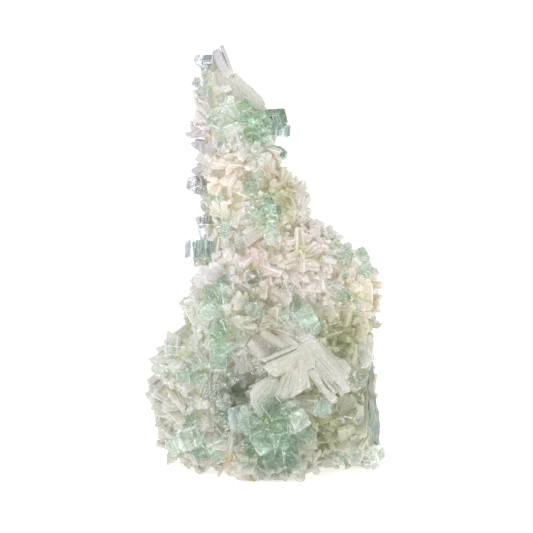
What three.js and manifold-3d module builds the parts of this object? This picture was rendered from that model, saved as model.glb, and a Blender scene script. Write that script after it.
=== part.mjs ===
// A standing cluster of green apophyllite crystals on cream stilbite, grown together as one piece.
// Millimetres, +Z up. The origin is on the flat that the cluster stands on, under its body.
// -Y is the display side, +X its right. The right side is one flat break, the rest is crystals.
import * as THREE from "three";
import { ConvexGeometry } from "three/addons/geometries/ConvexGeometry.js";
import { mergeVertices } from "three/addons/utils/BufferGeometryUtils.js";
import Module from "manifold-3d";

const { degToRad, lerp } = THREE.MathUtils;
const vector = (x, y, z) => new THREE.Vector3(x, y, z);

// ---------------------------------------------------------------- driving dimensions
// Places on the display side are read on a board that stands in front of the cluster and leans
// back by BOARD_LEAN. A place is [across, up] on the board, in millimetres, and the crystal there
// lies straight behind it.
const BOARD_LEAN = degToRad(8);
const BOARD_FRONT = -30;
const CLUSTER_HEIGHT = 148;
const AXIS_OVERHANG = -17.5; // how far left of the foot the crest stands
const REACH = 200; // a length that starts outside the cluster, whatever the direction
const PYRAMID_SLOPE = 0.8; // run over rise of the faces that cut an apophyllite's corners
const HEAD_SHARE = 0.7; // share of an apophyllite's length behind the middle of its head
const HEAD_STAND = 0.15; // how far a head stands in front of the display side, over its length
const LATH_ROOT = 2.5; // how deep a lath starts under the surface
const LATH_FLATNESS = 0.38; // thickness over width

// The flat break low on the right: its outward normal, its distance from the origin, and how far
// up it reaches from there.
const BREAK = { normal: vector(1, -0.24, 0.14).normalize(), distance: 38.2, top: 44 };

// The body under the crystals: rounded lumps, each [x, y, z, radius x, radius y, radius z].
const LUMPS = [
  [-17, 0, 130, 7.2, 6.5, 15.5], // crest
  [-11.5, 0, 120, 12.2, 9.5, 14], // neck
  [-9.5, 0, 105, 14, 12, 17], // upper body
  [-4, 0, 88, 18.5, 14, 17], // waist
  [2, 0, 72, 25, 16, 16], // middle
  [-14.5, -2, 56, 14, 15, 19], // left side
  [14, 1, 78, 11.5, 11, 10], // ledge above the right shoulder
  [24.5, 2, 64, 13.8, 14, 15], // right shoulder
  [4, 3, 46, 25, 19, 24], // heart
  [-25.5, -3, 29, 13.5, 15, 20], // left lobe
  [-20, 1, 12, 17, 16, 12], // left foot
  [3, -12, 18, 13, 15, 17], // front lobe
  [-1.5, -14.5, 5, 16, 13, 10.5], // front foot
  [13, -9, 41, 10, 10.5, 11], // seat of the great sheaf
  [26.5, 0, 16, 18, 16, 16.5], // right lobe
  [25, 3, 36, 16, 15.5, 21], // right flank
  [-1, 9, 10, 25, 15, 22], // foot
];

// Apophyllite on the display side, each
// [across, up, width, length, swing right, lift, spin, corner cut], angles in degrees.
// Swing and lift turn its axis from straight forwards. A corner cut of 2 ends in a full point.
const APOPHYLLITE = [
  // crest
  [-20.5, 145.0, 4.2, 9, -20, 50, 30, 0.4],
  [-16.8, 145.6, 3.6, 12, 18, 62, 10, 0.5],
  [-23.6, 146.6, 2.4, 7, -55, 35, 20, 0.6],
  // neck
  [-17.4, 125.2, 8.2, 16, -48, 6, 45, 1.7],
  [-7.2, 125.6, 5.0, 10, -5, 0, 5, 0.4],
  [-3.0, 124.2, 5.8, 12, 25, 5, 42, 0.5],
  [2.4, 125.2, 6.2, 14, 62, 12, 20, 0.4],
  // waist
  [-25.0, 103.2, 5.2, 12, -70, 5, 45, 1.0],
  [-6.2, 102.3, 5.2, 9, 5, 8, 15, 0.3],
  [0.2, 94.6, 7.6, 12, 12, 12, 30, 0.9],
  [1.2, 85.6, 6.2, 11, 10, -8, 35, 0.6],
  [-24.0, 80.2, 8.6, 15, -64, 4, 12, 0.4],
  // middle and right shoulder
  [31.0, 77.6, 5.6, 11, 38, 28, 15, 0.5],
  [-4.8, 70.8, 5.0, 9, -5, 12, 25, 0.6],
  [12.8, 57.6, 6.2, 11, 10, 5, 30, 0.5],
  // left side
  [-17.8, 64.6, 7.8, 12, -22, 10, 10, 0.5],
  [-19.4, 59.0, 5.0, 9, -35, 0, 40, 0.7],
  [-17.0, 53.0, 5.8, 10, -10, 5, 20, 0.5],
  [-16.6, 47.6, 5.8, 10, 5, -5, 35, 0.6],
  [-17.2, 41.2, 6.2, 12, 0, 20, 0, 0.4],
  [-28.2, 37.2, 5.2, 10, -25, 0, 10, 0.4],
  [-11.4, 30.2, 5.8, 10, 10, 0, 10, 1.2],
  [-18.4, 31.0, 5.4, 9, -20, 10, 20, 0.5],
  [-14.4, 22.0, 6.2, 9, 5, -5, 35, 1.0],
  [-27.0, 15.4, 7.0, 11, -25, -10, 10, 0.5],
  [-31.4, 12.6, 5.8, 10, -45, -15, 30, 0.6],
  [-23.0, 11.4, 5.8, 9, -10, -20, 40, 0.5],
  [-16.8, 11.4, 7.6, 11, 5, -5, 22, 0.5],
  // front lobe
  [-8.2, 22.4, 8.4, 13, -28, 12, 15, 0.3],
  [1.7, 26.6, 6.2, 10, -5, 20, 40, 0.6],
  [3.4, 20.6, 5.8, 10, 10, 0, 5, 0.5],
  [9.8, 21.8, 6.6, 11, 25, 15, 25, 0.3],
  [12.6, 17.0, 4.8, 10, 45, -5, 40, 0.4],
  [-0.9, 15.6, 7.8, 12, -10, -5, 30, 0.4],
  [-5.0, 12.6, 5.6, 10, -30, -20, 10, 0.6],
  [8.2, 9.6, 5.8, 15, 15, -62, 20, 0.4],
  [1.8, 9.4, 5.2, 10, 0, -35, 35, 0.5],
  // right lobe
  [18.8, 25.6, 8.4, 13, 15, -28, 0, 1.5],
  [31.2, 37.4, 5.0, 9, 25, 5, 30, 0.8],
];

// Single stilbite laths on the display side, each
// [root across, root up, tip across, tip up, width, how far the tip stands forward].
const LATHS = [
  [-12.0, 140.6, -0.9, 128.2, 4.6, 1.5],
  [-17.5, 139.0, -13.0, 147.0, 3.2, 1.5],
  [-8.0, 48.6, -9.6, 37.4, 4.4, 4],
  [-6.4, 48.4, -0.4, 42.0, 2.9, 4],
  [1.0, 52.8, 9.2, 47.0, 3.2, 4],
  [0.4, 59.8, 8.2, 64.6, 4.0, 3],
  [17.6, 58.2, 23.2, 62.8, 2.9, 4],
  [22.6, 56.4, 30.0, 62.2, 3.5, 4],
  [25.2, 70.4, 32.4, 66.2, 3.6, 4],
  [26.0, 54.2, 34.0, 50.0, 5.0, 4],
  [31.6, 49.4, 35.0, 39.8, 4.8, 2],
  [33.8, 62.0, 33.0, 70.0, 6.0, 2],
  [-14.6, 70.4, -26.0, 71.6, 8.6, 3],
  [-20.6, 69.6, -26.4, 64.8, 5.4, 2],
  [-22.4, 53.0, -26.6, 61.4, 5.6, 3],
  [-27.6, 52.8, -33.2, 48.8, 4.4, 2],
  [-19.2, 45.6, -26.2, 51.8, 4.2, 3],
  [-28.4, 33.6, -35.0, 44.2, 3.0, 4],
  [-22.8, 37.4, -29.4, 31.8, 3.2, 5],
  [-29.2, 31.6, -21.4, 26.8, 3.0, 5],
  [-34.8, 26.0, -28.6, 20.4, 3.2, 4],
  [-21.6, 25.4, -19.6, 18.4, 3.6, 4],
  [-33.6, 28.6, -40.2, 32.4, 5.0, 2],
  [-34.0, 24.6, -40.6, 25.4, 5.0, 2],
  [-33.4, 19.0, -38.6, 15.6, 4.6, 2],
  [14.8, 20.4, 22.0, 23.0, 3.4, 3],
  [19.8, 14.4, 29.2, 11.8, 4.2, 3],
  [27.2, 29.0, 30.2, 21.0, 4.0, 3],
  [24.4, 27.6, 22.0, 17.6, 5.0, 2],
];

// The great sheaf low on the front: its laths leave one knot.
// Each is [tip across, tip up, how far the tip stands in front of the knot, width, thickness].
const SHEAF_KNOT = { across: 11.2, up: 45.6, forward: 2, root: 4 }; // root: depth behind the knot
const SHEAF = [
  [12.6, 51.6, 2, 5.4, 2.0],
  [16.8, 50.0, 3, 5.0, 1.8],
  [-1.8, 39.8, 4, 5.2, 2.0],
  [2.2, 45.0, 2, 4.6, 1.8],
  [3.4, 29.8, 6, 6.6, 2.4],
  [10.0, 30.8, 8, 6.6, 2.4],
  [22.4, 28.8, 5, 3.6, 2.6],
  [27.8, 31.6, 4, 5.4, 2.2],
  [25.4, 40.0, 1, 5.6, 1.8],
  [17.6, 36.0, 9, 5.2, 2.0],
];

// Stilbite fans and loose apophyllite that cover the rest, all the way round.
const FANS = {
  count: 112,
  blades: 2,
  reach: 8,
  spread: degToRad(80),
  lean: degToRad(60), // the most that a fan leans from straight out
  flatness: 0.2, // thickness over reach
  stem: 1.2, // width at its foot
  low: 9, // no fan grows lower than this, or as near to the top
  clearance: 5.8, // between a fan's foot and a crystal that is placed by hand
};
const SPRINKLE = { count: 8, low: 6, widest: 6.5, narrowest: 4, tilt: 1.1 };
const TAPER = 0.8; // how much narrower the crest is than the foot, for an even cover

// ---------------------------------------------------------------- places on the body
const ahead = vector(0, Math.cos(BOARD_LEAN), -Math.sin(BOARD_LEAN));
const boardUp = vector(0, Math.sin(BOARD_LEAN), Math.cos(BOARD_LEAN));
const boardFoot = vector(0, BOARD_FRONT, 0);

// Where a ray first meets the lumps, as {point, normal, depth}, or null past their edge.
function firstHit(origin, direction) {
  let found = null;
  for (const [x, y, z, radiusX, radiusY, radiusZ] of LUMPS) {
    const centre = vector(x, y, z);
    const radii = vector(radiusX, radiusY, radiusZ);
    const from = origin.clone().sub(centre).divide(radii);
    const along = direction.clone().divide(radii);
    const a = along.lengthSq();
    const b = from.dot(along);
    const inside = b * b - a * (from.lengthSq() - 1);
    if (inside <= 0) continue;
    const depth = (-b - Math.sqrt(inside)) / a;
    if (found && depth >= found.depth) continue;
    const point = origin.clone().addScaledVector(direction, depth);
    const normal = point.clone().sub(centre).divide(radii).divide(radii).normalize();
    found = { point, normal, depth };
  }
  return found;
}

const boardPoint = (across, up) => boardFoot.clone().setX(across).addScaledVector(boardUp, up);

// The place on the body behind the board. Past the body's edge it keeps the edge's depth.
function displaySpot(across, up) {
  const middle = AXIS_OVERHANG * (up / CLUSTER_HEIGHT) ** 2;
  for (let share = 1; share > 0; share -= 0.02) {
    const start = boardPoint(lerp(middle, across, share), up).addScaledVector(ahead, -REACH);
    const hit = firstHit(start, ahead);
    if (!hit) continue;
    const point = boardPoint(across, up).addScaledVector(ahead, hit.depth - REACH);
    return { point, normal: hit.normal };
  }
  throw new Error(`nothing lies behind the board at ${across}, ${up}`);
}

// The place that a level ray meets at this height, coming in from this side.
function sideSpot(turn, height) {
  const outward = vector(Math.cos(turn), Math.sin(turn), 0);
  const axis = vector(AXIS_OVERHANG * (height / CLUSTER_HEIGHT) ** 2, 0, height);
  return firstHit(axis.addScaledVector(outward, REACH), outward.negate());
}

// ---------------------------------------------------------------- crystals
// A repeatable chance from 0 to 1.
let chanceState = 20;
function chance() {
  chanceState = (chanceState * 1664525 + 1013904223) % 4294967296;
  return chanceState / 4294967296;
}

const anyPerpendicular = (axis) =>
  (Math.abs(axis.z) < 0.9 ? vector(0, 0, 1) : vector(1, 0, 0)).cross(axis).normalize();

// A square prism along +Z from 0 to length. Its four top corners are cut by steep pyramid faces.
function apophylliteShape(width, length, cornerCut) {
  const half = width / 2;
  const cut = cornerCut * half;
  const points = [];
  for (const [sx, sy] of [[1, 1], [-1, 1], [-1, -1], [1, -1]]) {
    points.push(vector(sx * half, sy * half, 0));
    points.push(vector(sx * half, sy * half, Math.max(length - cut / PYRAMID_SLOPE, length * 0.1)));
    if (cut < half) {
      points.push(vector(sx * half, sy * (half - cut), length));
      points.push(vector(sx * (half - cut), sy * half, length));
    } else {
      // The cuts meet: the top is a small diamond, and each side ends in a gable.
      const top = 2 * half - cut;
      const [gx, gy] = sx === sy ? [sx, 0] : [0, sy];
      points.push(vector(gx * top, gy * top, length));
      points.push(vector(gx * half, gy * half, length - (half - top) / PYRAMID_SLOPE));
    }
  }
  return new ConvexGeometry(points);
}

// A stilbite lath along +Z: flat, a little wider past its middle, with a gable end.
function lathShape(width, thickness, length) {
  const outline = [[-0.42, 0], [0.42, 0], [0.5, 0.75], [-0.3, 1]];
  const sides = outline.map(([across, along]) => [across * width, along * length]);
  return new ConvexGeometry(
    [-thickness / 2, thickness / 2].flatMap((side) => sides.map(([x, z]) => vector(x, side, z))),
  );
}

function turned(geometry, root, axis, flatNormal) {
  const across = flatNormal.clone().cross(axis).normalize();
  const basis = new THREE.Matrix4().makeBasis(across, axis.clone().cross(across), axis);
  return geometry.applyMatrix4(basis.setPosition(root));
}

// An apophyllite crystal whose head is centred on a point.
function apophyllite(head, axis, width, length, spin, cornerCut) {
  const side = anyPerpendicular(axis).applyAxisAngle(axis, spin);
  const root = head.clone().addScaledVector(axis, -length * HEAD_SHARE);
  return turned(apophylliteShape(width, length, cornerCut), root, axis, side);
}

// A lath between two points. Its flat side faces flatNormal.
function lath(root, tip, width, thickness, flatNormal) {
  const run = tip.clone().sub(root);
  return turned(lathShape(width, thickness, run.length()), root, run.normalize(), flatNormal);
}

function displayApophyllite() {
  return APOPHYLLITE.map(([across, up, width, length, swing, lift, spin, cornerCut]) => {
    const [turn, raise] = [degToRad(swing), degToRad(lift)];
    const level = Math.cos(raise);
    const axis = vector(Math.sin(turn) * level, -Math.cos(turn) * level, Math.sin(raise));
    const head = displaySpot(across, up).point.addScaledVector(ahead, -length * HEAD_STAND);
    return apophyllite(head, axis, width, length, degToRad(spin), cornerCut);
  });
}

function displayLaths() {
  return LATHS.map(([rootAcross, rootUp, tipAcross, tipUp, width, forward]) => {
    const root = displaySpot(rootAcross, rootUp).point.addScaledVector(ahead, LATH_ROOT);
    const tip = displaySpot(tipAcross, tipUp).point.addScaledVector(ahead, -forward);
    return lath(root, tip, width, width * LATH_FLATNESS, ahead.clone().negate());
  });
}

function greatSheaf() {
  const { across, up, forward } = SHEAF_KNOT;
  const knot = displaySpot(across, up).point.addScaledVector(ahead, -forward);
  const root = knot.clone().addScaledVector(ahead, SHEAF_KNOT.root);
  return SHEAF.map(([tipAcross, tipUp, reach, width, thickness]) => {
    const tip = knot.clone().addScaledVector(ahead, -reach).addScaledVector(boardUp, tipUp - up);
    tip.x = tipAcross;
    return lath(root, tip, width, thickness, ahead.clone().negate());
  });
}

// Heights that give every part of the tapering surface the same share of pieces.
function evenHeight(index, count, low) {
  const share = (index + 0.5) / count;
  const rise = (1 - Math.sqrt(1 - 2 * TAPER * share * (1 - TAPER / 2))) / TAPER;
  return lerp(low, CLUSTER_HEIGHT - low, rise);
}

const GOLDEN_TURN = Math.PI * (3 - Math.sqrt(5));

// Stilbite blades side by side in one plane, spread like a fan about +Z.
function fanShape(reach, thickness) {
  const { blades, spread, stem } = FANS;
  const outline = [new THREE.Vector2(stem / 2, 0), new THREE.Vector2(-stem / 2, 0)];
  const step = spread / blades;
  for (let blade = 0; blade < blades; blade += 1) {
    const length = reach * lerp(0.75, 1.1, chance());
    for (const edge of [0, 0.85]) {
      const angle = (blade + edge) * step - spread / 2;
      outline.push(new THREE.Vector2(Math.sin(angle) * length, Math.cos(angle) * length));
    }
  }
  const shape = new THREE.Shape(outline);
  const slab = new THREE.ExtrudeGeometry(shape, { depth: thickness, bevelEnabled: false });
  return slab.translate(0, 0, -thickness / 2).rotateX(Math.PI / 2);
}

function fans() {
  const taken = [...APOPHYLLITE, ...LATHS].map(([across, up]) => displaySpot(across, up).point);
  const crowded = (point) => taken.some((other) => other.distanceTo(point) < FANS.clearance);
  const made = [];
  for (let index = 0; index < FANS.count; index += 1) {
    const spot = sideSpot(index * GOLDEN_TURN, evenHeight(index, FANS.count, FANS.low));
    const [lean, turn, roll] = [FANS.lean * chance(), 2 * Math.PI * chance(), Math.PI * chance()];
    const reach = FANS.reach * lerp(0.8, 1.2, chance());
    const shape = fanShape(reach, reach * FANS.flatness);
    if (!spot || crowded(spot.point)) continue;
    const aside = anyPerpendicular(spot.normal).applyAxisAngle(spot.normal, turn);
    const axis = spot.normal.clone().multiplyScalar(Math.cos(lean)).addScaledVector(aside, Math.sin(lean));
    const flatNormal = anyPerpendicular(axis).applyAxisAngle(axis, roll);
    made.push(turned(shape, spot.point.addScaledVector(axis, -LATH_ROOT), axis, flatNormal));
  }
  return made;
}

// Loose apophyllite on the back and the two ends, spread by the golden section.
const GOLDEN_SHARE = (Math.sqrt(5) - 1) / 2;
function sprinkledApophyllite() {
  const crystals = [];
  for (let index = 0; index < SPRINKLE.count; index += 1) {
    const height = evenHeight(index, SPRINKLE.count, SPRINKLE.low);
    const turn = Math.PI * ((index * GOLDEN_SHARE) % 1);
    const spot = sideSpot(turn, height);
    const width = lerp(SPRINKLE.narrowest, SPRINKLE.widest, chance() ** 1.6);
    const tilt = vector(chance() - 0.5, chance() - 0.5, chance() - 0.5).multiplyScalar(SPRINKLE.tilt);
    const [spin, cornerCut] = [Math.PI * chance(), lerp(0.3, 1.3, chance() ** 2)];
    if (!spot) continue;
    const axis = spot.normal.clone().add(tilt).normalize();
    const head = spot.point.addScaledVector(spot.normal, width * 0.4);
    crystals.push(apophyllite(head, axis, width, width * 2, spin, cornerCut));
  }
  return crystals;
}

// ---------------------------------------------------------------- one solid
const wasm = await Module();
wasm.setup();

function solidOf(geometry) {
  const bare = geometry.clone();
  bare.deleteAttribute("normal");
  bare.deleteAttribute("uv");
  const merged = mergeVertices(bare, 1e-4);
  const vertProperties = new Float32Array(merged.attributes.position.array);
  const triVerts = new Uint32Array(merged.index.array);
  return new wasm.Manifold(new wasm.Mesh({ numProp: 3, vertProperties, triVerts }));
}

function geometryOf(solid) {
  const { vertProperties, triVerts } = solid.getMesh();
  const geometry = new THREE.BufferGeometry();
  geometry.setAttribute("position", new THREE.BufferAttribute(new Float32Array(vertProperties), 3));
  geometry.setIndex(new THREE.BufferAttribute(new Uint32Array(triVerts), 1));
  geometry.computeVertexNormals();
  return geometry;
}

const lumpShape = ([x, y, z, radiusX, radiusY, radiusZ]) =>
  new THREE.IcosahedronGeometry(1, 1).scale(radiusX, radiusY, radiusZ).translate(x, y, z);

// Everything beyond the break low on the right, and everything under the foot.
function beyondBreak() {
  const { normal, distance, top } = BREAK;
  const shape = new THREE.BoxGeometry(REACH, REACH, REACH).translate(0, top - REACH / 2, REACH / 2);
  return turned(shape, normal.clone().multiplyScalar(distance), normal, vector(0, 0, 1));
}
const underFoot = () => new THREE.BoxGeometry(REACH, REACH, REACH).translate(0, 0, -REACH / 2);

const grown = [
  ...LUMPS.map(lumpShape),
  ...greatSheaf(),
  ...displayLaths(),
  ...fans(),
  ...displayApophyllite(),
  ...sprinkledApophyllite(),
];
const whole = grown
  .map(solidOf)
  .reduce((sum, piece) => sum.add(piece))
  .subtract(solidOf(beyondBreak()))
  .subtract(solidOf(underFoot()));
// Its outer skin alone, so that no sealed pocket stays between crystals.
const cluster = whole.decompose().reduce((most, body) => (body.volume() > most.volume() ? body : most));

const mesh = new THREE.Mesh(
  geometryOf(cluster),
  new THREE.MeshStandardMaterial({ color: 0xd9dcc6, roughness: 0.35, metalness: 0 }),
);
mesh.name = "apophyllite_cluster";

const group = new THREE.Group();
group.add(mesh);
export default group;
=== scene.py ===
"""A standing cluster of green apophyllite on cream stilbite blades, grown as one piece.

Crystals are shaped and placed in millimetres. A finished piece is scaled to metres.
The display side faces -Y, and the flat break is low on the right, at +X.
"""

import math
import random

import bmesh
import bpy
from mathutils import Matrix, Vector, noise


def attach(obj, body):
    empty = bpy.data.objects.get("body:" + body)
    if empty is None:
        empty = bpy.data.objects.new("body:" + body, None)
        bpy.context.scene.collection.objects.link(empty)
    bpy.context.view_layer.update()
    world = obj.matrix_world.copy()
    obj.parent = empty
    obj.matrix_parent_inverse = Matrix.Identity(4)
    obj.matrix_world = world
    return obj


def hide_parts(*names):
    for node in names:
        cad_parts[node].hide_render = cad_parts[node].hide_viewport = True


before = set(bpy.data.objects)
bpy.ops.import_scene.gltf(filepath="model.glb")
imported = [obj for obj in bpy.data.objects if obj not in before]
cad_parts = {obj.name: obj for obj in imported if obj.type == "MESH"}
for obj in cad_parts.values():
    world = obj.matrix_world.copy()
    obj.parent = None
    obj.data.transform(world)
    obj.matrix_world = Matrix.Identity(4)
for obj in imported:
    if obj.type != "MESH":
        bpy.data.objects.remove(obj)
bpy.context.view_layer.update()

NODE = "apophyllite_cluster"
MM = 0.001
noise.seed_set(7)  # so that the body comes out the same each time

# ---------- sizes, in millimetres
# The body under the crystals: rounded lumps, each (x, y, z, radius x, radius y, radius z).
LUMPS = [
    (-17, 0, 130, 7.2, 6.5, 15.5),  # crest
    (-11.5, 0, 120, 12.2, 9.5, 14),  # neck
    (-9.5, 0, 105, 14, 12, 17),  # upper body
    (-4, 0, 88, 18.5, 14, 17),  # waist
    (2, 0, 72, 25, 16, 16),  # middle
    (-14, -2, 54.5, 13.5, 15, 17.5),  # left side
    (13.5, 1, 77, 10.5, 10.5, 9),  # ledge above the right shoulder
    (24, 2, 63, 13.2, 14, 14),  # right shoulder
    (4, 3, 46, 25, 19, 24),  # heart
    (-25.5, -3, 29, 13.5, 15, 20),  # left lobe
    (-20, 1, 12, 17, 16, 12),  # left foot
    (3, -12, 18, 13, 15, 17),  # front lobe
    (-1.5, -14.5, 5, 16, 13, 10.5),  # front foot
    (13, -9, 41, 10, 10.5, 11),  # seat of the great sheaf
    (26.5, 0, 16, 18, 16, 16.5),  # right lobe
    (25, 3, 36, 16, 15.5, 21),  # right flank
    (-1, 9, 10, 25, 15, 22),  # foot
]
CRYSTAL_COAT = 1.8  # how far the lumps are drawn in, to leave room for the crystals on them
THINNEST_COAT = 0.17  # the same for a small lump, over its least radius
BODY_GRAIN = 0.9  # size of the body's faces
BROAD_KNOBS, FINE_KNOBS = (0.11, 1.3), (0.42, 0.6)  # how close they stand, and how high
CLUSTER_HEIGHT = 148
AXIS_OVERHANG = -17.5  # how far left of the foot the crest stands

# The flat break low on the right: its outward normal, distance from the origin and top edge.
BREAK_NORMAL = Vector((1, -0.24, 0.14)).normalized()
BREAK_DISTANCE = 38.2
BREAK_TOP = 49
BREAK_MARGIN = 0.4  # how near to the break's face a crystal may root
LEAST_TIP = 0.4  # how high above the rest a scattered crystal's tip has to be

# Places on the display side are read on a board that stands in front of the cluster and leans
# back. A place is (across, up) on it, and the crystal there lies straight behind.
BOARD_LEAN = math.radians(8)
BOARD_FRONT = -30
AHEAD = Vector((0, math.cos(BOARD_LEAN), -math.sin(BOARD_LEAN)))
BOARD_UP = Vector((0, math.sin(BOARD_LEAN), math.cos(BOARD_LEAN)))

# Apophyllite on the display side, by glass. Each is
# (across, up, width, length, swing right, lift, spin, corner cut), with angles in degrees.
# Swing and lift turn its axis from straight forwards. A corner cut of 2 ends in a full point.
APOPHYLLITE = {
    "smoky": [
        (-21.9, 90.4, 3.2, 8, -75, 5, 20, 0.3), (-21.7, 86.8, 3.4, 8, -80, -5, 40, 0.3),
        (-20.8, 144.6, 3.7, 8, -8, 62, 5, 0.2), (-23, 145.2, 2.8, 8, -50, 40, 20, 0.3),
        (-23.4, 137.6, 3, 8, -55, 30, 0, 0.2), (-24.6, 103, 5, 11, -70, 5, 45, 1),
        (-24.6, 80.6, 6.4, 12, -72, 6, 12, 0.2),
    ],
    "dusky": [
        (2.2, 125.4, 5.8, 12, 68, 6, 20, 0.2), (4.6, 121.6, 4, 9, 72, -5, 0, 0.2),
        (3.8, 113.8, 3.8, 9, 70, -10, 30, 1),
    ],
    "milky": [
        (8.2, 9.6, 5.8, 15, 15, -62, 20, 0.2), (-16.8, 124.8, 8.6, 16, -52, 4, 45, 1.6),
        (-27, 15.4, 7, 11, -25, -10, 10, 0.3), (-31.4, 12.6, 5.8, 10, -45, -15, 30, 0.4),
        (-8.2, 22.4, 8.4, 13, -28, 12, 15, 0.2), (18.8, 25.6, 8.4, 13, 15, -28, 0, 1.5),
    ],
    "pale green": [
        (-17.8, 64.6, 7.8, 12, -22, 10, 10, 0.3), (-15, 68.6, 4.6, 9, -5, 30, 30, 0.2),
        (-19.4, 59, 5, 9, -35, 0, 40, 0.4), (-16.8, 11.4, 7.6, 11, 5, -5, 22, 0.3),
        (12.8, 57.6, 6.2, 11, 10, 5, 30, 0.3), (-28.2, 37.2, 5.2, 10, -25, 0, 10, 0.2),
        (-17.2, 41.2, 6.2, 12, 0, 20, 0, 0.2),
    ],
    "clear": [
        (-20.4, 139.4, 3.6, 8, -12, 35, 20, 0.2), (-15.6, 132.2, 4, 8, -5, 15, 35, 0.3),
        (-13.3, 131, 3, 7, 15, 40, 0, 0.5), (-4.8, 112.2, 3.4, 7, 15, 15, 25, 0.2),
        (-0.3, 118.3, 2.6, 6, 30, 10, 15, 0.3), (-20.4, 95.8, 3.6, 8, -50, -10, 35, 0.5),
        (1.2, 85.6, 5.4, 11, 10, -8, 35, 0.4), (-9.2, 83.1, 3.6, 8, -5, 0, 20, 0.4),
        (23, 81.6, 3.6, 8, 35, 35, 20, 0.2), (26, 72.6, 3, 7, 5, 10, 35, 0.2),
        (23.8, 67.4, 3.6, 7, -10, 20, 45, 0.5), (6.8, 68, 4.6, 8, 5, 5, 12, 0.2),
        (-24.6, 41.6, 4.6, 9, -15, 10, 40, 0.2), (-11.4, 37, 4.8, 9, 5, 5, 30, 0.5),
        (-15.2, 28, 4.8, 9, -5, -10, 40, 0.4), (-18.4, 31, 5.4, 9, -20, 10, 20, 0.3),
        (-12.3, 49.6, 3, 7, 5, 20, 5, 0.2), (-33.2, 45.2, 3.4, 8, -60, 10, 20, 0.3),
        (-36.2, 38.4, 3.4, 8, -70, 15, 35, 0.3), (-3.4, 40, 4.6, 9, -20, 10, 15, 0.4),
        (9.8, 21.8, 6.6, 11, 25, 15, 25, 0.2), (31.2, 37.4, 5, 9, 25, 5, 30, 0.5),
        (29.4, 9, 4.2, 8, 20, -20, 20, 0.4), (30.4, 22.4, 3.4, 7, 30, 0, 40, 0.4),
        (37.4, 9.6, 4.6, 9, 55, -5, 20, 0.3), (35.8, 5.6, 4.4, 8, 45, -12, 40, 0.4),
    ],
    "green": [
        (0, 96.2, 4, 9, 5, 20, 30, 0.5), (2.2, 94.2, 3.8, 9, 20, 5, 5, 0.4),
        (-1, 94, 4.4, 10, -5, 5, 40, 0.3), (1.2, 92.2, 3.4, 9, 8, -10, 15, 0.5),
        (-21.4, 80.2, 7.4, 12, -52, 2, 12, 0.2), (-21.4, 134.6, 3.8, 8, -25, 10, 5, 0.2),
        (-15.6, 117.4, 3, 7, -15, 5, 40, 0.4), (-6.2, 102.3, 5.2, 9, 5, 8, 15, 0.2),
        (-3.6, 106, 3.4, 7, 25, 25, 40, 0.4), (-17.8, 97.5, 4.2, 9, -30, 0, 20, 0.4),
        (1, 89, 2.8, 8, 0, 20, 10, 0.3), (-14.4, 87.5, 4.2, 8, -20, 5, 30, 0.2),
        (26.4, 79.2, 4.4, 9, 20, 25, 40, 0.3), (31, 77.6, 5.6, 11, 38, 28, 15, 0.3),
        (33.4, 73.6, 4.4, 9, 45, 10, 30, 0.2), (26, 64.4, 4.6, 9, 0, 15, 20, 0.3),
        (-4.8, 70.8, 5, 9, -5, 12, 25, 0.4), (-5.1, 59.5, 5, 9, 0, 0, 25, 0.2),
        (9.4, 61.4, 4.4, 8, -5, 20, 5, 0.2), (15.4, 54, 4.4, 8, 20, -5, 15, 0.5),
        (-22.4, 35.6, 4.4, 8, -10, -5, 25, 0.4), (-26.3, 22.8, 4, 8, -25, 0, 20, 0.3),
        (-23, 11.4, 5.8, 9, -10, -20, 40, 0.3), (1.7, 26.6, 6.2, 10, -5, 20, 40, 0.4),
        (12.6, 17, 4.8, 10, 45, -5, 40, 0.2), (-0.9, 15.6, 7.8, 12, -10, -5, 30, 0.2),
        (-5, 12.6, 5.6, 10, -30, -20, 10, 0.4), (1.8, 9.4, 5.2, 10, 0, -35, 35, 0.3),
    ],
    "deep green": [
        (-7.2, 125.6, 5, 10, -5, 0, 5, 0.2), (-3, 124.2, 5.8, 12, 25, 5, 42, 0.3),
        (-5.6, 120, 4.6, 9, 10, -20, 30, 0.5), (-8.2, 129.6, 4.4, 9, 5, 25, 30, 0.3),
        (-3.4, 92.6, 3.4, 9, -15, -5, 10, 0.3), (-17, 53, 5.8, 10, -10, 5, 20, 0.3),
        (-16.6, 47.6, 5.8, 10, 5, -5, 35, 0.4), (-11.4, 30.2, 5.8, 10, 10, 0, 10, 1.2),
        (-14.4, 22, 6.2, 9, 5, -5, 35, 1), (3.4, 20.6, 5.8, 10, 10, 0, 5, 0.3),
        (5.2, 15.8, 5, 10, 15, -10, 45, 0.5),
    ],
}
# Where small apophyllites crowd between the blades, each (across, up, radius).
GREEN_PATCHES = [
    (-4, 121, 5), (4, 122, 4), (0, 94, 6), (-18, 60, 6), (-17, 48, 5), (-15, 34, 7), (-14, 22, 6),
    (-28, 36, 6), (-24, 13, 9), (-8, 20, 8), (4, 16, 9), (8, 26, 5), (29, 76, 7), (12, 56, 6),
    (31, 37, 4), (20, 24, 6), (28, 9, 6),
]
CLEAR_PATCHES = [
    (-12, 34, 8), (-30, 42, 6), (-24, 30, 5), (-10, 52, 6), (3, 45, 5), (30, 26, 7),
    (-18, 102, 6), (-16, 133, 6), (0, 62, 8), (10, 74, 8), (16, 92, 4), (-34, 26, 6), (26, 58, 6),
    (-6, 108, 5), (-9, 3, 5), (1, 2, 6),
]
PYRAMID_SLOPE = 0.8  # run over rise of the faces that cut an apophyllite's corners
LEAST_SIDE = 0.1  # how much of its length a corner keeps under such a face
HEAD_SHARE = 0.7  # share of an apophyllite's length behind the middle of its head
HEAD_STAND = 0.15  # how far a head stands in front of the surface, over its length
GLASS_BEVEL = 0.066  # width of the chamfer along an apophyllite's edges, over its width
WIDEST_BEVEL = 0.28

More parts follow.
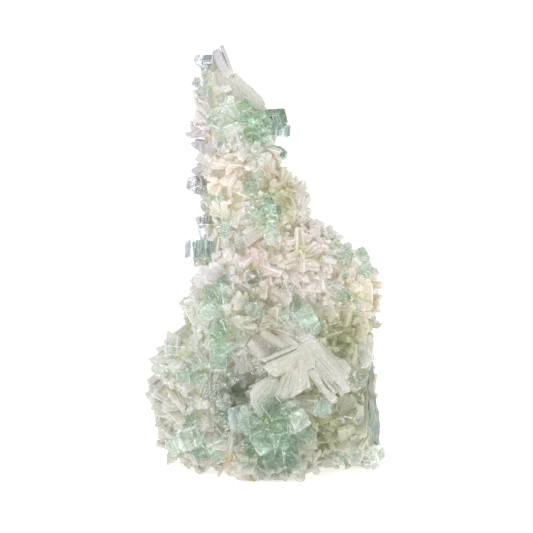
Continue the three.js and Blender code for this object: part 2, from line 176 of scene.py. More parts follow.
# Large stilbite laths on the display side, each
# (root across, root up, tip across, tip up, width, how far the tip stands forward).
LATHS = [
    (-15.5, 132, -11, 139, 4, 2.5), (-18.6, 141, -13.4, 134, 3.6, 2),
    (-20.4, 121, -28.8, 119.8, 2.4, 0.5), (-21.4, 114.6, -26.4, 117.4, 2, 1.5),
    (-21.6, 109.6, -26.8, 107.2, 2.2, 0.5), (-8, 48.6, -9.6, 37.4, 4.4, 4),
    (-6.4, 48.4, -0.4, 42, 2.9, 4), (1, 52.8, 9.2, 47, 3.2, 4),
    (0.4, 59.8, 8.2, 64.6, 4, 3), (17.6, 58.2, 23.2, 62.8, 2.9, 4),
    (22.6, 56.4, 30, 62.2, 3.5, 4), (25.2, 70.4, 32.4, 66.2, 3.6, 4),
    (26, 54.2, 34, 50, 5, 4), (31.6, 49.4, 35, 39.8, 4.8, 2),
    (33.8, 62, 33, 70, 6, 2), (-14.6, 70.4, -26, 71.6, 8.6, 3),
    (-20.6, 69.6, -26.4, 64.8, 5.4, 2), (-22.4, 53, -26.6, 61.4, 5.6, 3),
    (-27.6, 52.8, -33.2, 48.8, 4.4, 2), (-19.2, 45.6, -26.2, 51.8, 4.2, 3),
    (-28.4, 33.6, -35, 44.2, 3, 4), (-22.8, 37.4, -29.4, 31.8, 3.2, 5),
    (-29.2, 31.6, -21.4, 26.8, 3, 5), (-34.8, 26, -28.6, 20.4, 3.2, 4),
    (-29.4, 26.2, -22.8, 27.2, 2.6, 4), (-21.6, 25.4, -19.6, 18.4, 3.6, 4),
    (-33.6, 28.6, -40.2, 32.4, 5, 2), (-34, 24.6, -40.6, 25.4, 5, 2),
    (-33.4, 19, -38.6, 15.6, 4.6, 2), (14.8, 20.4, 22, 23, 3.4, 3),
    (19.8, 14.4, 29.2, 11.8, 4.2, 3), (27.2, 29, 30.2, 21, 4, 3),
    (24.4, 27.6, 22, 17.6, 5, 2), (16, 11.2, 19.8, 9.6, 3, 3),
    (23.4, 18.4, 28.6, 31, 6.4, 2.5), (29, 10.6, 26.6, 20, 6.6, 3),
    (32.4, 28.6, 31.6, 15.6, 5.4, 2), (26, 55, 34.6, 50.6, 6.4, 3),
    (33.4, 42, 34.4, 51, 6, 1.5), (-1.8, 7.6, -0.4, 2, 2.2, 2),
]
LATH_ROOT = 4.5  # how deep a lath starts under the surface
LATH_TAIL = 3  # how far it carries on behind that, into the body
LATH_FLATNESS = 0.42  # thickness over width
TIP_SLOPE, LONGEST_TIP = 0.32, 0.3  # of a lath's tip: over its width, and over its length
LATH_SECTION = [
    (1, 0.45), (0.74, 1), (-0.74, 1), (-1, 0.45), (-1, -0.45), (-0.74, -1), (0.74, -1), (1, -0.45)
]
RIB_WIDTH = 2.1  # width of the narrow laths that grow side by side in a large one
RIB_STEP = 0.45  # how far they lie apart, over their width
RIB_TONES = (0.3, 1)
RIB_SPLAY, RIB_SHORTENING = 0.2, 0.12  # how far the outer ones lean out, and how much they lack
RIB_LIFT, BUNDLE_LIFT = 0.12, 0.25  # how far they rise or sink by chance, over their thickness
BUNDLE_LAP, BUNDLE_STEP, BUNDLE_SPLAY = 1.25, 0.85, (0.0, 0.2)  # the same of a small bundle
# How uneven narrow laths are: width, thickness, length, bend, skew and bluntness.
RIB_SPANS = [(0.95, 1.15), (0.8, 1), (0.88, 1.02), (-0.03, 0.03), (-0.25, 0.25), (0.6, 0.9)]
BUNDLE_SPANS = [(0.9, 1.15), (0.75, 1.1), (0.82, 1.05), (-0.02, 0.02), (-0.3, 0.3), (0.7, 0.95)]

# Broad stilbite plates. Each is (how far it stands forward at its group's place, its rise per mm to
# the right, its rise per mm upwards, thickness, outline). An outline's places are (across, up), and
# its first is at the root. A spray lays narrow blades side by side over the plates. It is (forward,
# rise right, rise upwards, count, width, first root, last root, first tip, last tip).
GREAT_SHEAF_PLATES = [
    (1.5, 0.05, -0.05, 2.2, [(17.1, 48.9), (20.2, 46.9), (23.3, 43.8), (26.7, 42.4), (28.7, 39.7),
        (27, 36.9), (23.9, 39.7), (19.8, 43.8)]),
    (4.2, 0, -0.16, 3, [(10.6, 50.6), (13, 51.5), (15.7, 51), (18.8, 47.2), (21.9, 43.1),
        (25.3, 38), (28.4, 32.8), (28, 31.8), (26, 31.5), (23.3, 34.5), (19.5, 38),
        (15, 41.7), (11.6, 45.5)]),
    (4.2, -0.05, -0.1, 3.2, [(12.3, 44.1), (9.6, 46.5), (5.1, 44.5), (1.4, 42.4), (-2.1, 40.5),
        (0, 38.6), (2.4, 36.9), (5.5, 37.6), (8.2, 37.3), (12, 39.3)]),
    (4.9, 0.1, -0.1, 3, [(12.3, 49.6), (14.7, 47.2), (17.1, 43.4), (16.4, 40), (13.3, 38),
        (9.6, 38), (6.5, 40.7), (6.8, 45.1), (10.3, 47.9)]),
    (5.2, 0.22, -0.12, 3.2, [(10.9, 41.7), (11.6, 37.3), (9.9, 32.5), (7.2, 29.8), (4.4, 28.4),
        (2.4, 29.8), (4.4, 36.9), (7.5, 40.4)]),
    (5.6, -0.2, -0.1, 3, [(12, 42.8), (14, 41.4), (14, 36.6), (13.3, 33.2), (10.3, 31.1),
        (7.5, 29.8), (7.9, 34.5), (8.9, 40)]),
    (4.6, 0, -0.2, 3.4, [(13.7, 40.4), (16.4, 39.6), (20.5, 33.9), (23.9, 29.8), (23.6, 28.4),
        (22.2, 27.9), (20.5, 29.4), (17.1, 33.5), (14, 37.3)]),
    (3, 0.05, -0.12, 2.4, [(18.5, 39.3), (21.5, 37.6), (24.6, 34.5), (26.7, 31.8), (25, 30.4),
        (22.6, 32.1), (19.2, 35.6)]),
    (1.2, -0.05, -0.2, 2.6, [(3.4, 36.9), (3.1, 33.2), (1.4, 29.1), (0, 25), (-2.1, 22.6),
        (-4.1, 24.3), (-5.8, 27.7), (-6.2, 31.8), (-4.1, 34.5), (-0.7, 36.6)]),
    (2.6, 0.1, -0.15, 2.4, [(3.8, 37.3), (5.5, 32.5), (3.4, 27.7), (0.7, 25.7), (-1.4, 29.1),
        (-0.3, 35.9)]),
    (1.8, -0.05, 0, 2.4, [(8.2, 47.5), (7.5, 45.5), (5.1, 45.8), (1, 48.2), (-2.7, 51),
        (-2.1, 53.7), (1, 52), (5.1, 49.2)]),
    (1, -0.05, 0, 2.2, [(0.3, 43.8), (-0.3, 41.7), (-2.4, 42.1), (-5.5, 45.5), (-7.2, 47.9),
        (-5.5, 49.9), (-2.7, 47.5)]),
]
GREAT_SHEAF_SPRAYS = [
    (5, 0, -0.16, 6, 1.9, (13.6, 50.8), (12.4, 44.6), (28.6, 35.2), (22.4, 33)),
    (5.4, 0, -0.2, 2, 2, (14.6, 41.4), (13.6, 39.6), (24.4, 29.8), (22.4, 28.4)),
    (6, 0.1, -0.12, 4, 2.2, (11, 44.6), (8.4, 42), (9.4, 30.2), (2.6, 29.4)),
    (6.2, -0.2, -0.1, 2, 2.2, (13, 43), (11.4, 43.4), (14, 32), (10.6, 30.6)),
    (5, -0.05, -0.1, 3, 2.1, (11.6, 48), (9.8, 43.4), (-1.8, 42.4), (-0.6, 38.8)),
    (2.2, -0.05, -0.2, 2, 2.6, (4, 36), (1.4, 35.6), (-1, 23.6), (-5.6, 27.6)),
]
CREST_PLATES = [
    (-1, 0, -0.05, 2.6, [(-11.8, 141.2), (-9.2, 139.6), (-5.4, 136.6), (-2, 133),
        (-0.8, 130.6), (-3.4, 130.4), (-6.8, 134.8), (-10.3, 138.5)]),
    (0.8, 0, -0.05, 3.4, [(-12.3, 141.2), (-10.3, 140.6), (-6.8, 137.1), (-3.4, 133.7),
        (-0.7, 129.6), (-1.4, 127.2), (-4.1, 127.9), (-7.5, 131.3), (-10.9, 135.8),
        (-12.7, 138.9)]),
    (1.6, 0.05, 0.02, 3.6, [(-11.6, 140.6), (-13.7, 144.7), (-15.7, 148.1), (-16.8, 149.4),
        (-18.8, 149.2), (-19.4, 147.4), (-18.2, 144.7), (-16.4, 141.2), (-13.7, 138.5)]),
    (0.4, 0.05, 0, 4.4, [(-8.2, 131.4), (-9.6, 137.1), (-12.3, 141.2), (-15.7, 144.4),
        (-18.2, 143.2), (-19.4, 140.2), (-19.6, 136), (-17.4, 132.4), (-13.7, 130.6)]),
]
CREST_SPRAYS = [
    (1.2, 0, -0.05, 4, 2.2, (-11.6, 141), (-12.6, 137.8), (-1.6, 130.4), (-3.6, 127.8)),
    (2.2, 0.05, 0.02, 3, 1.9, (-12.2, 140.6), (-14.4, 139.2), (-16.2, 151.4), (-19, 149)),
    (1.2, 0.05, 0, 4, 2.8, (-17.6, 142.8), (-18.8, 136.6), (-10, 135.8), (-13, 131)),
    (0.8, -0.2, 0, 4, 2.4, (-19.4, 127), (-19.8, 124.2), (-22.4, 135.8), (-25.6, 127.8)),
    (0.2, -0.2, 0, 4, 2.2, (-19.6, 133), (-19.4, 129), (-24.6, 135.8), (-25.8, 130.4)),
    (0, -0.2, 0, 3, 2.4, (-19.6, 126.6), (-19.2, 123.4), (-25.8, 127.2), (-24.8, 122)),
]
PLATES = {
    "great sheaf": ((12, 42), GREAT_SHEAF_PLATES, GREAT_SHEAF_SPRAYS),
    "crest": ((-11, 136), CREST_PLATES, CREST_SPRAYS),
}
SPRAY_THICKNESS = 1.6
SPRAY_REACH, SPRAY_WIDTHS, SPRAY_STAND = (0.86, 1.04), (0.8, 1.25), (-0.5, 0.5)
TIP_SLANT = (0.2, 0.8)  # how far a blade's end is cut at a slant, over its width
PLATE_LAYERS = [(0.0, 1.0), (0.7, 0.35), (1.5, 0.3)]  # inset of each, and its share of the thickness
PLATE_CHAMFER = 0.4  # its width, and the most it takes of a thin plate
PLATE_FINENESS = 2.2  # how much finer a plate's streaks are than a blade's
PLATE_TONES = (0.0, 0.9)
LAYER_STEP = (0.6, 1.4)  # how unevenly a layer steps inwards
FARTHEST_STEP = 0.6  # the most of the way to the plate's middle
LAYER_OVERLAP, LAYER_RISE = 0.3, 0.4  # how deep a layer sits in the last, and its share that shows
PAST_ROOTS = Vector((0, 0, 40))  # keeps a plate's finish clear of the painted shade at the roots
FINISH_SPREAD = 40  # how far apart the finishes of two crystals can lie


# ---------- node trees
def maths(operation, swapped=False):
    """An operator of wires, which adds a Math node."""

    def operator(self, other):
        pair = (other, self) if swapped else (self, other)
        return self.graph.node("ShaderNodeMath", dict(enumerate(pair)), operation=operation)["Value"]

    return operator


class Wire:
    """One output of a node. Arithmetic on it adds Math nodes."""

    def __init__(self, graph, socket):
        self.graph, self.socket = graph, socket

    __add__ = __radd__ = maths("ADD")
    __mul__ = __rmul__ = maths("MULTIPLY")
    __sub__, __rsub__ = maths("SUBTRACT"), maths("SUBTRACT", swapped=True)
    __gt__, __lt__ = maths("GREATER_THAN"), maths("LESS_THAN")

    def ramp(self, low, high):
        """0 below low, 1 above high, and smooth between them."""
        sockets = {"Value": self, "From Min": low, "From Max": high}
        made = self.graph.node("ShaderNodeMapRange", sockets, interpolation_type="SMOOTHSTEP")
        return made["Result"]


class Outputs:
    """A node's outputs, by name or number."""

    def __init__(self, graph, node):
        self.graph, self.made = graph, node

    def __getitem__(self, key):
        return Wire(self.graph, self.made.outputs[key])


class Graph:
    """A shader or geometry node tree."""

    def __init__(self, tree):
        self.tree = tree

    def node(self, kind, sockets=None, **settings):
        """Adds a node: its settings first, then a value or a wire for each socket named."""
        made = self.tree.nodes.new(kind)
        for name, value in settings.items():
            setattr(made, name, value)
        for key, value in (sockets or {}).items():
            if isinstance(value, Wire):
                self.tree.links.new(value.socket, made.inputs[key])
            else:
                made.inputs[key].default_value = value
        return Outputs(self, made)

    def mix(self, share, first, second, blend="MIX"):
        """A colour between two colours, each a wire or (red, green, blue)."""
        first, second = (c if isinstance(c, Wire) else (*c, 1.0) for c in (first, second))
        sockets = {"Factor": share, 6: first, 7: second}
        settings = {"data_type": "RGBA", "blend_type": blend, "clamp_factor": True}
        return self.node("ShaderNodeMix", sockets, **settings)[2]

    def tint(self, share, color, by):
        """A colour multiplied by another, as far as the share tells."""
        return self.mix(share, color, by, "MULTIPLY")

    def noise(self, place, scale, detail=3.0, rough=0.5):
        """Soft noise from 0 to 1. Its scale is one number, or one for each axis of the place."""
        if isinstance(scale, tuple):
            place, scale = self.vectors("MULTIPLY", place, scale), 1.0
        sockets = {"Vector": place, "Scale": scale, "Detail": detail, "Roughness": rough}
        return self.node("ShaderNodeTexNoise", sockets)["Fac"]

    def vectors(self, operation, first, second, result="Vector"):
        sockets = {0: first, 1: second}
        return self.node("ShaderNodeVectorMath", sockets, operation=operation)[result]

    def split(self, place):
        """The axes of a place, by name."""
        return self.node("ShaderNodeSeparateXYZ", {"Vector": place})

    def join(self, x=0.0, y=0.0, z=0.0):
        return self.node("ShaderNodeCombineXYZ", {"X": x, "Y": y, "Z": z})["Vector"]

    def near(self, place, centre, inner, outer):
        """1 within inner of a point and 0 past outer."""
        return 1 - self.vectors("DISTANCE", place, centre, "Value").ramp(inner, outer)


# ---------- finishes
WHITE, BLACK = (1.0, 1.0, 1.0), (0.0, 0.0, 0.0)
DIM_CREAM, PALE_CREAM = (0.545, 0.523, 0.48), (0.625, 0.612, 0.596)
# painted shade for the gaps between the blades, warm or green
WARM_GAP_SHADE, GREEN_GAP_SHADE = (0.91, 0.83, 0.69), (0.80, 0.88, 0.66)
DARK_JADE, PALE_JADE, JADE_PATCH = (0.18, 0.28, 0.22), (0.42, 0.51, 0.42), (0.64, 0.63, 0.54)
SALMON, RUST = (0.85, 0.52, 0.42), (0.13, 0.07, 0.015)


class Finish(Graph):
    """A material with one Principled shader, and the piece's own place in millimetres."""

    def __init__(self, name, **constants):
        self.material = bpy.data.materials.new(name)
        self.material.use_nodes = True
        super().__init__(self.material.node_tree)
        self.shader = self.tree.nodes["Principled BSDF"]
        for socket, value in constants.items():
            self.shader.inputs[socket.replace("_", " ")].default_value = value
        metres = self.node("ShaderNodeTexCoord")["Object"]
        self.place = self.vectors("MULTIPLY", metres, (1 / MM,) * 3)

    def attribute(self, name, output="Fac"):
        """A value that the piece's mesh carries."""
        return self.node("ShaderNodeAttribute", attribute_name=name)[output]

    def feed(self, socket, value):
        self.tree.links.new(value.socket, self.shader.inputs[socket])

    def bump(self, height, strength, distance):
        sockets = {"Height": height, "Strength": strength, "Distance": distance * MM}
        self.feed("Normal", self.node("ShaderNodeBump", sockets)["Normal"])


# Soft zones of colour in the stilbite, some of them painted shade or painted light, each (centre,
# inner radius, outer radius, tint).
BLADE_ZONES = [
    ((-15, -9, 102), 3, 16, (1.12, 1.04, 0.97)),  # peach, and lighter: painted light on the upper body
    ((6, -14, 78), 6, 24, (0.985, 0.92, 0.88)),  # rosy middle
    ((-24, -8, 126), 4, 16, (1.12, 1.08, 1.09)),  # rosy crest
    ((-18, -10, 90), 3, 12, (0.98, 1.0, 0.94)),  # green cream left of the waist
    ((3, -8, 103), 3, 13, (1.0, 0.97, 0.89)),  # warm right of the waist
    ((-5, -14, 78), 2, 9, (1.0, 0.93, 0.93)),  # pink
    ((-20, -12, 72), 3, 9, (1.1, 1.1, 1.14)),  # white dome on the left
    ((-3, -15, 56), 4, 16, (0.88, 0.86, 0.77)),  # shaded middle
    ((4, -8, 98), 3, 14, (0.88, 0.87, 0.79)),  # shaded right of the waist
    ((33, -8, 62), 5, 20, (1.05, 1.0, 0.88)),  # yellow cream
    ((26, -14, 48), 3, 15, (0.63, 0.67, 0.45)),  # olive colour, with painted shade in the recess
    ((-10, -12, 26), 3, 16, (0.42, 0.46, 0.38)),  # painted shade in the valley between the lobes
    ((20, -14, 20), 5, 20, (0.72, 0.73, 0.55)),  # right lobe, painted shade
    ((36, -8, 24), 4, 16, (0.50, 0.56, 0.44)),  # right flank, painted shade with a green tint
    ((12, -28, 40), 8, 20, (0.98, 0.99, 0.95)),  # great sheaf
    ((9, -30, 41), 1, 8, (1.02, 0.95, 0.92)),  # rosy root of the great sheaf
    ((-28, -2, 112), 4, 17, (0.92, 0.91, 1.0)),  # lilac, with painted shade along the left edge
    ((-17, -4, 147), 3, 9, (0.90, 0.90, 0.97)),  # lilac tip
    ((-40, -4, 28), 4, 13, (0.94, 0.93, 0.97)),  # lilac, with painted shade along the edge of the left lobe
    ((-28, -14, 38), 4, 18, (1.0, 1.03, 1.0)),  # left lobe
    ((2, -26, 16), 6, 18, (0.50, 0.66, 0.50)),  # front lobe: green colour with painted shade
    ((-17, -12, 52), 4, 18, (1.0, 1.05, 1.03)),  # green column on the left
    ((-2, -9, 121), 3, 10, (0.60, 0.78, 0.60)),  # green neck
    ((-25, -14, 12), 5, 16, (0.97, 0.96, 0.97)),  # green foot of the left lobe
    ((2, -12, 92), 3, 12, (0.85, 0.93, 0.74)),  # green under the waist crystals
    ((-1, -27, 2), 4, 11, (0.90, 0.90, 0.95)),  # grey crust at the front foot
    ((-15, -22, 5), 1.5, 7, (1.0, 0.80, 0.71)),  # salmon spot
]
PEACH_GLOW = ((-14, -9, 103), 3, 17)  # where the blades carry a little more painted glow, which lightens their shade


def stilbite_finish(name, streaks, carried):
    """Pearly cream blades, with painted shade at their roots in the gaps and towards the bottom,
    painted highlights on their edges and a fine painted sparkle. A faint glow, warmer at the roots,
    stands for the light that the blades carry down between them. Streaks is how strong the lines
    along a blade are, and carried is how much light it carries."""
    finish = Finish(
        name, IOR=1.5, Transmission_Weight=0.0, Emission_Strength=1.0, Specular_IOR_Level=0.6
    )
    place, local = finish.place, finish.attribute("local", "Vector")
    tone, edge = finish.attribute("tone"), finish.attribute("edge")
    grain = finish.noise(local, (1.6, 1.6, 0.5), 4.0, 0.6)
    streak = finish.noise(local, (2.4, 2.4, 0.22), 3.0, 0.6)
    fibre = finish.noise(local, (1.1, 1.1, 0.1), 2.0)
    speck = finish.noise(place, 1.3, 3.0, 0.6)
    cloud = finish.noise(place, 0.22, 4.0)
    # where the blades meet in the gaps: painted shade at their roots, and a warmer glow
    deep = 1 - finish.split(local)["Z"].ramp(1.0, 6.5)
    # painted shade: the blades darker towards the bottom
    low = 1 - finish.split(place)["Z"].ramp(5, 75)

    cream = finish.mix(tone, DIM_CREAM, PALE_CREAM)
    # painted highlights on the edges and a fine painted sparkle, mixed towards white
    cream = finish.mix(speck.ramp(0.5, 0.64) * 0.2 + edge * 0.3, cream, WHITE)
    # streaks, fibres and clouds of the blades' own colour, then painted shade towards the bottom
    for share, shade in (
        (streak.ramp(0.44, 0.58) * 0.6 * streaks, (0.90, 0.87, 0.82)),
        (fibre.ramp(0.45, 0.6) * streaks, (0.93, 0.91, 0.87)),
        (cloud.ramp(0.5, 0.75) * 0.7, (0.92, 0.95, 0.82)),
        (low, (0.86, 0.88, 0.82)),
    ):
        cream = finish.tint(share, cream, shade)
    for *zone, color in BLADE_ZONES:
        cream = finish.tint(finish.near(place, *zone), cream, color)
    # painted shade at the roots, in the gaps between the blades
    gap_shade = finish.mix(finish.noise(place, 0.07, 2.0).ramp(0.42, 0.58), WARM_GAP_SHADE, GREEN_GAP_SHADE)
    cream = finish.tint(deep, cream, gap_shade)
    finish.feed("Base Color", cream)

    glow = finish.mix(deep * 0.09 + finish.near(place, *PEACH_GLOW) * 0.06 + carried, BLACK, cream)
    # painted glints: small white spots in the glow
    glint = finish.noise(place, 2.4, 2.0).ramp(0.66, 0.71) * tone.ramp(0.3, 0.6)
    finish.feed("Emission Color", finish.mix(glint * 0.65, glow, WHITE))
    finish.feed("Roughness", 0.08 + grain * 0.3)
    finish.bump(grain + speck + streak * 1.5 * streaks, 0.38, 0.2)
    return finish.material


def glass_finish(name, glow, tint, density, bands=0.0, veil=1.0):
    """Clear crystal that takes colour from its depth. Its edges are frosted and bear painted
    highlights, lit in patches, and its faces a fine growth grain and painted light and shade, one
    face brighter than another at random. A faint glow stands for the light that its own flaws
    scatter inside it. Bands is how strong the dark growth bands across its length are, veil how
    milky it is."""
    finish = Finish(name, Transmission_Weight=1.0, IOR=1.535, Emission_Strength=1.0)
    local = finish.attribute("local", "Vector")
    edge, facet, tone = (finish.attribute(carried) for carried in ("edge", "facet", "tone"))
    grain = finish.noise(local, (1.6, 1.6, 0.6), 3.0, 0.6)
    frost = (finish.noise(local, 0.7, 4.0, 0.6) + tone * 0.2).ramp(0.58, 0.72)
    flaw = finish.noise(local, 1.2, 3.0, 0.7).ramp(0.62, 0.66)
    # where the edges' painted highlights are lit
    highlight_patches = finish.noise(local, 0.8, 2.0).ramp(0.4, 0.6)
    band = finish.noise(local, (0.15, 0.15, 1.4), 2.0).ramp(0.48, 0.56) * bands

    clear = finish.mix(band, (0.97, 1.0, 0.98), (0.08, 0.09, 0.12))
    # painted highlights: the edges whitened
    finish.feed("Base Color", finish.mix(edge * 0.8, clear, WHITE))
    finish.feed("Roughness", 0.02 + frost * 0.2 + edge * 0.3)
    # painted light and shade of the faces, one brighter than another at random
    dark, light = ([value * share * veil for value in glow] for share in (0.005, 0.1))
    lit = finish.mix(facet.ramp(0.8, 0.95), finish.mix(facet, dark, light), (0.10, 0.12, 0.12))
    frosted = finish.mix(frost * 0.1, lit, WHITE)
    veiled = finish.mix(flaw * 0.35, frosted, (0.8, 0.86, 0.84))
    # painted highlights along the edges, lit in patches, and dark elsewhere on the edges
    rim_highlight = facet.ramp(0.3, 0.9) * highlight_patches
    rim = finish.mix(rim_highlight, (0.04, 0.05, 0.05), (0.70, 0.72, 0.71))
    finish.feed("Emission Color", finish.mix(edge, veiled, rim))
    finish.bump(grain, 0.4, 0.12)
    sockets = {"Color": (*tint, 1.0), "Density": density}
    depth = finish.node("ShaderNodeVolumeAbsorption", sockets)["Volume"]
    finish.tree.links.new(depth.socket, finish.tree.nodes["Material Output"].inputs["Volume"])
    return finish.material


def matrix_finish():
    """The ground of the crystals: olive cream between them, grey-green rock where it is bare."""
    finish = Finish("matrix", IOR=1.5, Emission_Strength=1.0)
    place, axes = finish.place, finish.split(finish.place)
    x, y, z = (axes[axis] for axis in "XYZ")
    coarse = finish.noise(place, 0.35, 5.0, 0.6)
    fine = finish.noise(place, 2.2, 4.0, 0.6)

    ground = finish.mix(coarse, (0.82, 0.79, 0.64), (0.92, 0.89, 0.78))
    crust = finish.mix(fine, (0.62, 0.66, 0.64), (0.86, 0.87, 0.86))
    salmon = finish.near(place, (-16, -20, 3), 1, 5)
    crust = finish.mix(salmon * 0.7, crust, SALMON)
    grown = finish.mix(1 - z.ramp(4, 10), ground, crust)

    jade = finish.mix(fine.ramp(0.3, 0.7), DARK_JADE, PALE_JADE)
    jade = finish.mix(coarse.ramp(0.44, 0.62) * 0.7, jade, JADE_PATCH)
    winding = finish.noise(finish.vectors("MULTIPLY", place, (1.0, 1.0, 0.6)), 0.06, 2.0, 0.4)
    off_vein = finish.node("ShaderNodeMath", {0: winding - 0.5}, operation="ABSOLUTE")["Value"]
    veins = (1 - off_vein.ramp(0.004, 0.018)) * coarse.ramp(0.38, 0.48)
    jade = finish.mix(veins, jade, RUST)

    depth = BREAK_DISTANCE - (x * BREAK_NORMAL.x + y * BREAK_NORMAL.y + z * BREAK_NORMAL.z)
    broken = (1 - depth.ramp(0.1, 0.8)) * (z < BREAK_TOP)
    finish.feed("Base Color", finish.mix(broken, grown, jade))
    # a faint warm painted glow on the ground between the crystals, none on the break
    finish.feed("Emission Color", finish.mix(broken, (0.10, 0.09, 0.06), BLACK))
    finish.feed("Roughness", 0.75 - fine * 0.3)
    finish.bump(fine + coarse, 1.0, 0.8)
    return finish.material


STILBITE = stilbite_finish("stilbite", 0.7, 0.19)
BROAD_STILBITE = stilbite_finish("broad stilbite", 0.4, 0.12)
MATRIX = matrix_finish()
GLASS_KINDS = {  # glow, colour in its depth, density, growth bands, milkiness
    "clear": ((0.80, 0.88, 0.86), (0.72, 0.82, 0.76), 60.0, 0.15),
    "green": ((0.62, 0.75, 0.65), (0.55, 0.75, 0.59), 110.0, 0.1),
    "deep green": ((0.42, 0.64, 0.42), (0.44, 0.70, 0.46), 130.0),
    "milky": ((0.78, 0.86, 0.86), (0.71, 0.80, 0.76), 150.0, 0.0, 4.0),
    "pale green": ((0.74, 0.84, 0.74), (0.64, 0.80, 0.67), 110.0, 0.1, 2.0),
    "dusky": ((0.40, 0.56, 0.44), (0.48, 0.65, 0.52), 300.0, 0.75),
    "smoky": ((0.72, 0.72, 0.86), (0.74, 0.76, 0.86), 100.0, 0.8),
}
GLASS = {kind: glass_finish(f"{kind} apophyllite", *looks) for kind, looks in GLASS_KINDS.items()}


# ---------- crystal shapes
def skin(rings, sides, *, root, along, tip):
    """Faces over rings of points, closed at both ends, and how much of an edge each of them is: at
    the root, along the sides by ring and side, and at the tip."""
    faces, edges = [tuple(reversed(range(sides)))], [root]
    for ring in range(rings - 1):
        low, high = ring * sides, (ring + 1) * sides
        for side in range(sides):
            after = (side + 1) % sides
            faces.append((low + side, low + after, high + after, high + side))
            edges.append(along(ring, side))
    faces.append(tuple(range((rings - 1) * sides, rings * sides)))
    return faces, edges + [tip]


def lath_shape(width, thickness, length, bend=0.0, skew=0.15, blunt=0.8):
    """A stilbite lath along +Z from its root: flat, with chamfered edges and a short chisel end.
    Bend and skew are shares of its length and width, blunt is the width left at its tip. The third
    value returned tells for each face how much of an edge it is."""
    gable = min(TIP_SLOPE * width / length, LONGEST_TIP)
    # each ring's share of the length, of the width and of the thickness
    rings = [(0, 0.85, 0.8), (0.5, 1, 1), (1 - gable, 0.97, 0.96), (1, blunt, 0.6)]
    points = []
    for along, wide, thick in rings:
        middle = Vector((0, bend * length * along**2, along * length))
        for x, y in LATH_SECTION:
            slant = skew * x * width * wide * along**4  # one corner of the end reaches further
            points.append(middle + Vector((x * wide * width / 2, y * thick * thickness / 2, slant)))

    def along_edge(ring, side):
        return 1.0 if side % 2 == 0 else 0.5 * (ring == len(rings) - 2)

    return points, *skin(len(rings), len(LATH_SECTION), root=0.0, along=along_edge, tip=0.3)


def plate_shape(outline, front, thickness):
    """A plate with a chamfered rim. Its outline is in X and Z, and front gives its Y at a place."""
    middle = sum(outline, Vector((0, 0))) / len(outline)
    chamfer = min(PLATE_CHAMFER, thickness * PLATE_CHAMFER)
    rings = [(0.0, thickness), (0.0, chamfer), (chamfer, 0.0)]
    points = []
    for inset, depth in rings:
        for corner in outline:
            inward = middle - corner
            x, z = corner + inward * min(inset / inward.length, 0.5)
            points.append(Vector((x, front(x, z) - depth, z)))
    faces, edges = skin(
        len(rings), len(outline), root=0.0, along=lambda ring, side: 0.8 if ring else 0.0, tip=0.0
    )
    return points, [face[::-1] for face in faces], edges


def uneven_lath(width, thickness, length, spans, chance):
    """A lath with its sizes multiplied, and then its bend, skew and blunt drawn, from six spans."""
    wide, thick, long, *bends = (chance.uniform(*span) for span in spans)
    return lath_shape(width * wide, thickness * thick, length * long, *bends)


def bundle_shape(count, width, thickness, length, chance):
    """Narrow laths grown side by side and a little apart at their tips."""
    pile = Pile()
    for number in range(count):
        share = (number + 0.5) / count - 0.5
        shape = uneven_lath(width / count * BUNDLE_LAP, thickness, length, BUNDLE_SPANS, chance)
        lift = chance.uniform(-BUNDLE_LIFT, BUNDLE_LIFT) * thickness
        shift = Matrix.Translation((share * width * BUNDLE_STEP, lift, 0))
        splay = Matrix.Rotation(share * chance.uniform(*BUNDLE_SPLAY), 4, "Y")
        pile.add(shape, shift @ splay)
    return pile.points, pile.faces, pile.edge


def apophyllite_shape(width, length, corner_cut):
    """A square prism along +Z from its root, its four top corners cut by steep pyramid faces. The
    third value returned tells for each face whether it lies along an edge."""
    half = width / 2
    cut = corner_cut * half
    bm = bmesh.new()
    for sx, sy in ((1, 1), (-1, 1), (-1, -1), (1, -1)):
        bm.verts.new((sx * half, sy * half, 0))
        bm.verts.new((sx * half, sy * half, max(length - cut / PYRAMID_SLOPE, length * LEAST_SIDE)))
        if cut < half:
            bm.verts.new((sx * half, sy * (half - cut), length))
            bm.verts.new((sx * (half - cut), sy * half, length))
        else:
            top = 2 * half - cut
            gx, gy = (sx, 0) if sx == sy else (0, sy)
            bm.verts.new((gx * top, gy * top, length))
            bm.verts.new((gx * half, gy * half, length - (half - top) / PYRAMID_SLOPE))
    bmesh.ops.convex_hull(bm, input=bm.verts)
    bmesh.ops.dissolve_limit(bm, angle_limit=math.radians(2), verts=bm.verts, edges=bm.edges)
    bevel = min(GLASS_BEVEL * width, WIDEST_BEVEL)
    along = bmesh.ops.bevel(
        bm, geom=bm.edges, offset=bevel, segments=1, affect="EDGES", clamp_overlap=True
    )["faces"]
    bmesh.ops.recalc_face_normals(bm, faces=bm.faces)
    bm.verts.index_update()
    along = set(along)
    points = [vert.co.copy() for vert in bm.verts]
    faces = [tuple(vert.index for vert in face.verts) for face in bm.faces]
    edges = [float(face in along) for face in bm.faces]
    bm.free()
    return points, faces, edges


def turned(axis, flat_normal):
    """The turn that takes +Z to axis and the flat side to the nearest it can be to flat_normal."""
    across = flat_normal.cross(axis).normalized()
    return Matrix((across, axis.cross(across), axis)).transposed()


def perpendicular(axis):
    helper = Vector((0, 0, 1)) if abs(axis.z) < 0.9 else Vector((1, 0, 0))
    return helper.cross(axis).normalized()


